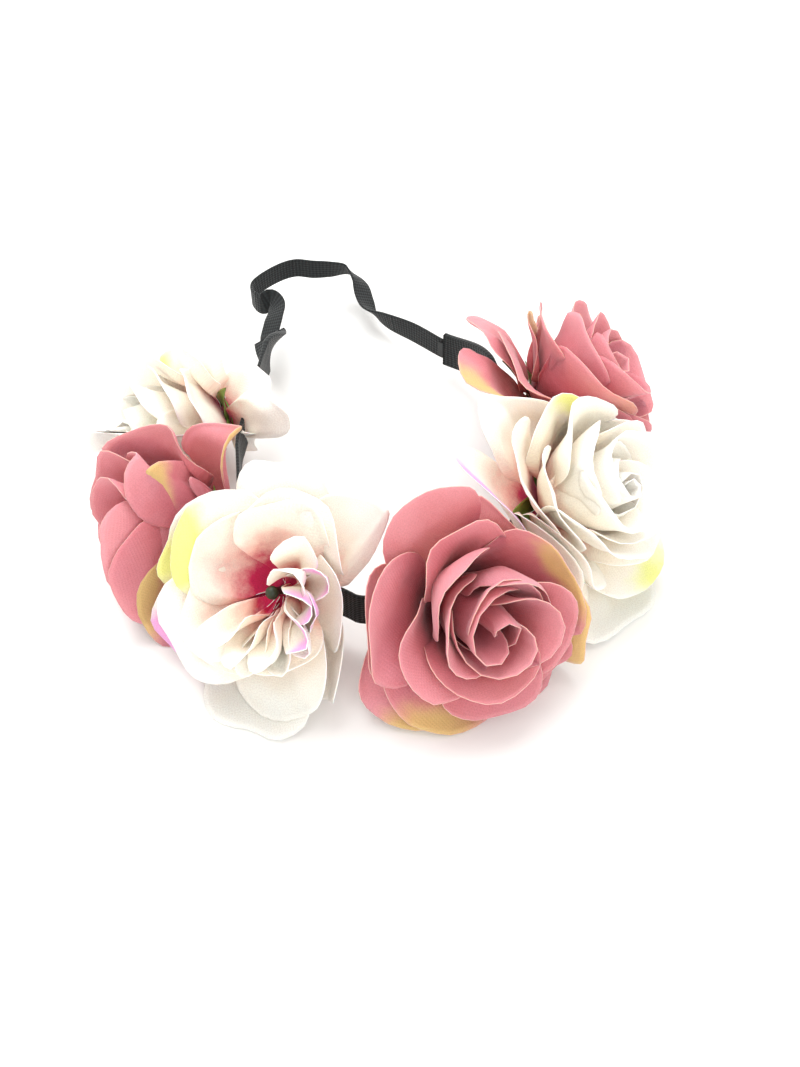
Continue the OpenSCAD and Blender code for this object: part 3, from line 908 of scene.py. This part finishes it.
def sepal(direction, rng):
    """A pointed leaf: half as wide as sin(pi s) to a power, its rim thinner than its middle, with
    its tip bent back by a slope that grows along it. Two faces, front and back, meet at the rim."""
    s = np.linspace(0, 1, 15)[:, None]
    v = np.linspace(-1, 1, 9)[None]
    reach = sepal_reach * rng.uniform(0.85, 1.1)
    across = v * (sepal_neck * (1 - s) ** 2
                  + sepal_width * np.sin(np.pi * s ** 0.8) ** 0.8 * (1 - 0.25 * s))
    out = sepal_start + reach * s
    rise = rng.uniform(*SEPAL_RISE)
    lift = (calyx_start + calyx_height
            + np.tan(np.radians(rise)) * reach * (s - sepal_droop * s ** 2))
    lift = lift + sepal_cup * across ** 2 - midrib_deep * np.exp(-(across / midrib_wide) ** 2)
    body = sepal_half_thick * (1 - v * v) * (1 - 0.5 * s)
    face = np.stack(np.broadcast_arrays(out, across, lift + body), axis=2)
    back = np.stack(np.broadcast_arrays(out, across, lift - body), axis=2)
    return turned(np.concatenate([face, back[:, -2:0:-1]], axis=1), direction)


for i, name in enumerate(FLOWERS):
    rng = np.random.default_rng(500 + i)
    cup = np.array([[0.01, 0], [calyx_foot, 0], [calyx_foot + 0.3, 0.5], [5.6, 2.2],
                    [calyx_top - 0.1, 4.6], [calyx_top, calyx_height],
                    [calyx_top - 0.8, calyx_height - 0.1], [4.6, 3.2], [peg_radius + 0.1, 2.6],
                    [peg_radius + 0.05, 1.0], [0.01, 1.0]]) + [0, calyx_start]
    cup = seated(i, turned_form(cup, ribs=10, rib_depth=0.035, columns=60))
    leaves = [sepal(2 * np.pi * (j + rng.uniform(-0.08, 0.08)) / SEPALS, rng) for j in range(SEPALS)]
    leaves = [on_crown(i, leaf, walls_of(i).values(), touch_gap) for leaf in leaves]
    piece = mesh_piece(name + "_calyx_leaves", *joined_sheets([cup, *leaves]), [leaf_plastic])
    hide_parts(name + "_calyx")
    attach(piece, name)

    u = np.linspace(0, np.pi / 2, 7)
    knob = np.stack([knob_radius * np.cos(u), peg_top + 0.4 + knob_high * np.sin(u)], axis=1)
    stem = np.vstack([[[0.01, calyx_start], [peg_radius, calyx_start], [peg_radius, peg_top - 0.4],
                       [2.3, peg_top]], knob])
    stem[-1, 0] = 0.01
    stem = seated(i, turned_form(stem, columns=28))
    piece = mesh_piece(name + "_peg_and_knob", *joined_sheets([stem]), [peg_plastic])
    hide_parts(name + "_peg")
    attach(piece, name)

    low, high = node_points(name + "_glue").min(0), node_points(name + "_glue").max(0)
    polar, around = np.meshgrid(np.linspace(0, np.pi, 22),
                                np.linspace(0, 2 * np.pi, 36, endpoint=False), indexing="ij")
    ball = np.stack([np.sin(polar) * np.cos(around), np.sin(polar) * np.sin(around),
                     np.cos(polar)], axis=2)
    lumps = (1 + 0.1 * np.sin(3 * around + i) * np.sin(polar) ** 2
             + 0.07 * np.sin(5 * polar + 2 * around))
    run = along[i]
    outward = np.cross(run, [0, 0, 1])
    middle = (low + high) / 2
    middle = middle + (glue_out - (middle - knots[i]) @ outward) * outward
    blob = middle + (ball[..., :1] * glue_long * run + ball[..., 1:2] * glue_deep * outward
                     + ball[..., 2:] * [0, 0, glue_tall]) * lumps[..., None]
    piece = mesh_piece(name + "_glue_blob", *joined_sheets([blob]), [hot_glue])
    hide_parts(name + "_glue")
    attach(piece, name)

# ---- Glue at the elastic's ends -------------------------------------------------------
# A line of glue squeezed out where the elastic enters each ribbon end. It soaks into the cloth
# and looks as dark. The CAD strip has the right shape and place, so it keeps its mesh.
dark_glue = moulded("ethylene_vinyl_hot_glue_soaked_black", "#2c3031", "#141718", 0.35, 0.5)
for name in ("left_tab_glue", "right_tab_glue"):
    strip = frame["nodes"][name]
    if not strip.material_slots:
        strip.data.materials.append(dark_glue)
    for item in strip.material_slots:
        item.material = dark_glue
